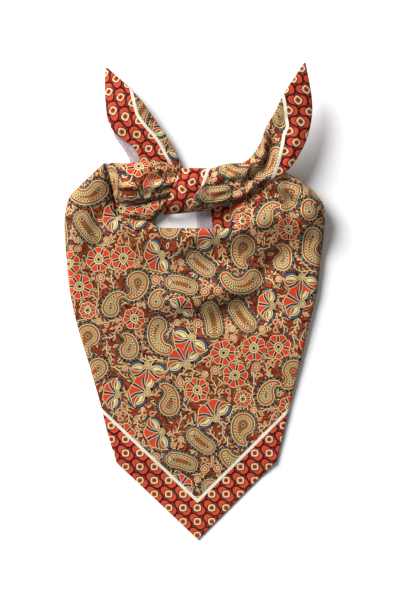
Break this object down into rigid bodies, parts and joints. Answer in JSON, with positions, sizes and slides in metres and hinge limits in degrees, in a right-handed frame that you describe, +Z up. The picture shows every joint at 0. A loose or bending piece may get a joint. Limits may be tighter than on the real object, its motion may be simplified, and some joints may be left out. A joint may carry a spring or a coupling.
{
  "type": "bandana scarf",
  "caption": "Square printed cotton bandana folded on its diagonal, knotted into a neck loop and laid flat, its point hanging down and two tails up.",
  "frame": {"origin": "on the surface it lies on, under the middle of the outline, point to tail tips and shoulder to shoulder", "axes": "+Z up out of the surface; +Y from the point of the triangle to the knot and tails; +X across, to the shoulder under the raised tail"},
  "size_m": [0.2138, 0.3895, 0.0341],
  "materials": {
    "printed_cotton": "fine plain-weave cotton lawn, printed in rust, orange-red, cream, navy and slate, soft matte",
    "cotton_wrong_side": "the pale wrong side of the same cloth, with a faint ghost of the print"
  },
  "bodies": {
    "root": {"front_panel": "printed_cotton", "side_fold_left": "printed_cotton", "side_fold_right": "printed_cotton", "panel_hidden_layers": "printed_cotton", "inner_neck_layer": "printed_cotton", "band_left_upper": "printed_cotton", "band_left_lower": "printed_cotton", "knot_wrap": "printed_cotton", "band_right": "printed_cotton", "band_hidden_layers": "printed_cotton", "tail_left": "printed_cotton", "tail_left_back": "cotton_wrong_side", "tail_right": "printed_cotton"}
  },
  "joints": []
}
